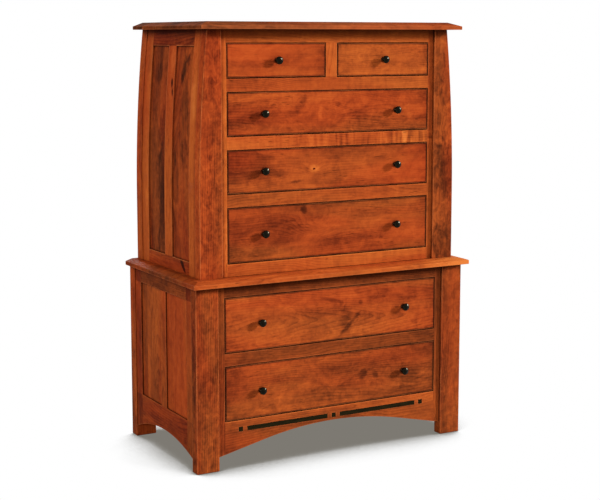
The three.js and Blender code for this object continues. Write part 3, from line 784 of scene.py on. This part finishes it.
def rim_tones(low, high):
    """A drawer front has painted shade along its rim, which widens the dark gap round it, and is a little
    darker towards its two ends.
    """
    def tones(t, x, y, z):
        sides = t.total(
            t.smooth(x, low.x + 0.09, low.x, 0.0, -0.1), t.smooth(x, high.x - 0.06, high.x, 0.0, -0.12))
        inward = [t.total(x, -low.x), t.product(t.total(x, -high.x), -1.0)]
        inward += [t.total(z, -low.z), t.product(t.total(z, -high.z), -1.0)]
        nearest = inward[0]
        for distance in inward[1:]:
            nearest = t.math("MINIMUM", nearest, distance)
        # The rim's painted shade, darkest right at the gap.
        return t.total(sides, t.smooth(nearest, 0.0075, 0.0015, 0.0, -0.5))
    return tones


FRONTS = {
    "drawer_1_left": dict(seed=1.4, tone=0.1, hue=0.35, figure=0.05, cloud=0.45, mottle=0.3),
    "drawer_1_right": dict(seed=5.2, tone=0.08, hue=0.5, figure=0.08, cloud=0.5, mottle=0.4),
    "drawer_2": dict(
        seed=2.7, tone=-0.03, hue=0.6, figure=0.1, cloud=0.4, mottle=0.4,
        knots=((-0.02, 1.335, 0.006, 0.12),),
        marks=(
            (-0.12, 1.372, 0.018, 0.02, 0.0, 0.22), (0.03, 1.353, 0.014, 0.012, 0.0, 0.2),
            (-0.16, 1.33, 0.05, 0.03, 0.4, 0.16), (-0.048, 1.325, 0.012, 0.035, 0.3, -0.18),
            (0.13, 1.31, 0.05, 0.02, 0.0, 0.12), (-0.37, 1.33, 0.12, 0.07, 0.0, 0.08))),
    "drawer_3": dict(
        seed=7.4, tone=-0.03, hue=0.25, figure=0.08, cloud=0.55, mottle=0.3,
        knots=((-0.075, 1.11, 0.0045, 1.0),),
        marks=(
            (-0.155, 1.066, 0.05, 0.007, 0.1, 0.22), (0.2, 1.12, 0.06, 0.02, 0.0, 0.1),
            (-0.35, 1.12, 0.16, 0.07, 0.0, 0.12))),
    "drawer_4": dict(
        seed=3.6, tone=-0.04, hue=0.75, figure=0.08, cloud=0.5, mottle=0.3,
        knots=((-0.075, 0.899, 0.009, 0.12), (-0.03, 0.91, 0.005, 0.1)),
        marks=(
            (-0.119, 0.958, 0.016, 0.018, 0.0, 0.22), (-0.26, 0.87, 0.15, 0.05, 0.1, 0.12),
            (0.14, 0.84, 0.18, 0.03, 0.05, 0.14))),
    "drawer_5": dict(
        seed=9.5, tone=-0.02, hue=0.7, figure=0.12, cloud=0.4, mottle=0.35, heart=(0.52, 0.03, 0.07),
        marks=(
            (0.055, 0.53, 0.03, 0.075, 0.0, 0.14), (0.07, 0.5, 0.05, 0.014, 0.9, 0.2),
            (0.0, 0.6, 0.07, 0.01, -0.25, 0.2), (0.12, 0.583, 0.012, 0.01, 0.0, 0.25),
            (0.38, 0.49, 0.03, 0.03, 0.4, 0.16), (0.2, 0.6, 0.06, 0.02, 0.2, 0.12))),
    "drawer_6": dict(
        seed=6.8, tone=-0.13, hue=0.85, figure=0.1, cloud=0.35, mottle=0.35,
        marks=(
            (0.13, 0.29, 0.02, 0.022, 0.3, 0.22), (0.19, 0.285, 0.016, 0.02, -0.3, 0.18),
            (0.36, 0.27, 0.09, 0.05, 0.0, 0.16), (-0.1, 0.24, 0.2, 0.03, 0.1, 0.1))),
}
FRONT_EDGE = 0.0028


def dress_drawers():
    box = wood("drawer_wood", "yzx", 4.1, 0.0, palette=PALE, gloss=0.5, level=0.1, wear_and_sheen=0.2)
    for name, looks in FRONTS.items():
        tones = rim_tones(*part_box(name + "_front"))
        dress(name + "_front", wood("cherry_" + name, "xzy", painted_shade=(0.95, 0.55), tones=tones, **looks), 0)
        ease_front(name + "_front", FRONT_EDGE)
        dress(name + "_box", box, 0)


# Stage

WHITE = (1.0, 1.0, 1.0, 1)
SHADOW = (0.205, 0.192, 0.168, 1)
FLOOR_REACH = 30.0
FLOOR_DROP = 0.0003
SKY_LIGHT = 0.28


def seen(t):
    """1 for a ray that shows the thing itself, 0 for a ray that only gathers its light."""
    path = t.add("ShaderNodeLightPath").outputs
    return t.largest(path["Is Camera Ray"], path["Is Glossy Ray"], path["Is Transmission Ray"])


def make_floor():
    """A white floor, which shows a painted shadow: darker where the object closes it in, white out in the
    open.
    """
    mesh = bpy.data.meshes.new("floor")
    corners = [(x * FLOOR_REACH, y * FLOOR_REACH, 0) for x, y in ((-1, -1), (1, -1), (1, 1), (-1, 1))]
    mesh.from_pydata(corners, [], [(0, 1, 2, 3)])
    floor = bpy.data.objects.new("floor", mesh)
    floor.location.z = -FLOOR_DROP
    bpy.context.scene.collection.objects.link(floor)
    material, t = new_material("floor")
    plain = t.add("ShaderNodeBsdfDiffuse", {"Color": (0.8, 0.8, 0.8, 1)}).outputs[0]
    # Painted shadow: the shadow colour where the object closes the floor in.
    shadow = t.tint(t.smooth(t.openness(0.4, 16), 0.47, 0.76), SHADOW, WHITE)
    bright = t.add("ShaderNodeEmission", {"Color": shadow, "Strength": 1.0}).outputs[0]
    mixed = t.add("ShaderNodeMixShader", {0: seen(t), 1: plain, 2: bright}).outputs[0]
    t.put(t.add("ShaderNodeOutputMaterial").inputs[0], mixed)
    mesh.materials.append(material)


def make_world():
    world = bpy.data.worlds.new("world")
    bpy.context.scene.world = world
    world.use_nodes = True
    t = Tree(world.node_tree)
    light = t.add("ShaderNodeBackground", {"Color": WHITE, "Strength": SKY_LIGHT}).outputs[0]
    white = t.add("ShaderNodeBackground", {"Color": WHITE, "Strength": 1.0}).outputs[0]
    mixed = t.add("ShaderNodeMixShader", {0: seen(t), 1: light, 2: white}).outputs[0]
    t.put(t.add("ShaderNodeOutputWorld").inputs[0], mixed)


def make_sun(name, towards, strength, angle):
    """A distant lamp. towards points from the object to the lamp, and angle is its width in degrees."""
    data = bpy.data.lights.new(name, "SUN")
    data.energy = strength
    data.angle = math.radians(angle)
    lamp = bpy.data.objects.new(name, data)
    lamp.rotation_mode = "QUATERNION"
    lamp.rotation_quaternion = Vector(towards).to_track_quat("Z", "Y")
    bpy.context.scene.collection.objects.link(lamp)


make_camera()
make_floor()
make_world()
make_sun("key", towards=(0.86, -0.42, 0.30), strength=4.2, angle=9)
make_sun("fill", towards=(-0.85, -0.45, 0.30), strength=1.0, angle=16)
make_sun("back", towards=(0.1, 0.9, 0.4), strength=1.0, angle=20)
dress_case()
dress_drawers()
make_knobs(bronze())

bpy.context.scene.view_settings.view_transform = "Standard"
